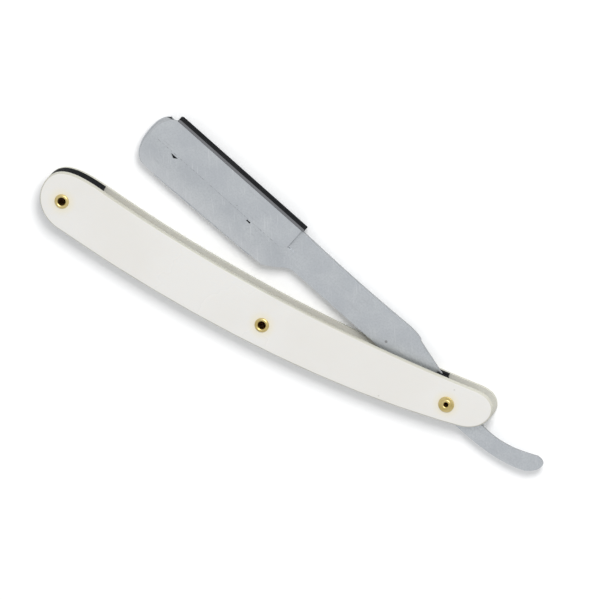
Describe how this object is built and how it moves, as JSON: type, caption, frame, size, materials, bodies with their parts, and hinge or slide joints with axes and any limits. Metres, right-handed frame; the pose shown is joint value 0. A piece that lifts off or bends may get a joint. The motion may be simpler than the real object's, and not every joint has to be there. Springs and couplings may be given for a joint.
{
  "type": "straight razor",
  "caption": "Folding straight razor with white plastic scales, a hollow steel arm with a curled tail and a black insert that carries a replaceable half blade.",
  "frame": {"origin": "middle of the object's bounding box, on the plane of the rear scale's outer face", "axes": "+X along the handle from the toe to the pivot end, +Y towards the side on which the arm opens, +Z from the rear scale to the front scale"},
  "size_m": [0.1742, 0.0532, 0.0078],
  "materials": {
    "white_plastic": "polished off-white plastic with fine handling scratches",
    "black_plastic": "moulded black plastic with a fine satin grain",
    "satin_steel": "tumbled satin stainless steel with fine scratches and small dark specks",
    "blade_steel": "thin blued-grey blade steel with a bright ground edge",
    "brass": "rolled brass, a little tarnished in the bores"
  },
  "bodies": {
    "handle": {"front_scale": "white_plastic", "rear_scale": "white_plastic", "toe_spacer": "black_plastic", "toe_eyelet": "brass", "toe_eyelet_washer": "brass", "middle_eyelet": "brass", "middle_eyelet_washer": "brass", "middle_spacer_sleeve": "brass", "pivot_tube_rivet": "brass", "pivot_front_collar": "brass", "pivot_rear_collar": "brass", "pivot_front_liner": "black_plastic", "pivot_rear_liner": "black_plastic"},
    "arm": {"arm_front_plate": "satin_steel", "arm_rear_plate": "satin_steel"},
    "insert": {"blade_insert": "black_plastic"},
    "blade": {"razor_blade": "blade_steel"}
  },
  "joints": [
    {"name": "arm_pivot", "type": "hinge", "parent": "handle", "child": "arm", "pos_m": [0.05294, -0.01417, 0.0036], "axis": [0, 0, 1], "range_deg": [-300, 15]},
    {"name": "insert_slide", "type": "slide", "parent": "arm", "child": "insert", "axis": [0.2554, 0.9668, 0], "range_m": [0, 0.02]},
    {"name": "blade_slide", "type": "slide", "parent": "insert", "child": "blade", "axis": [-0.2317, -0.9728, 0], "range_m": [0, 0.012]}
  ]
}
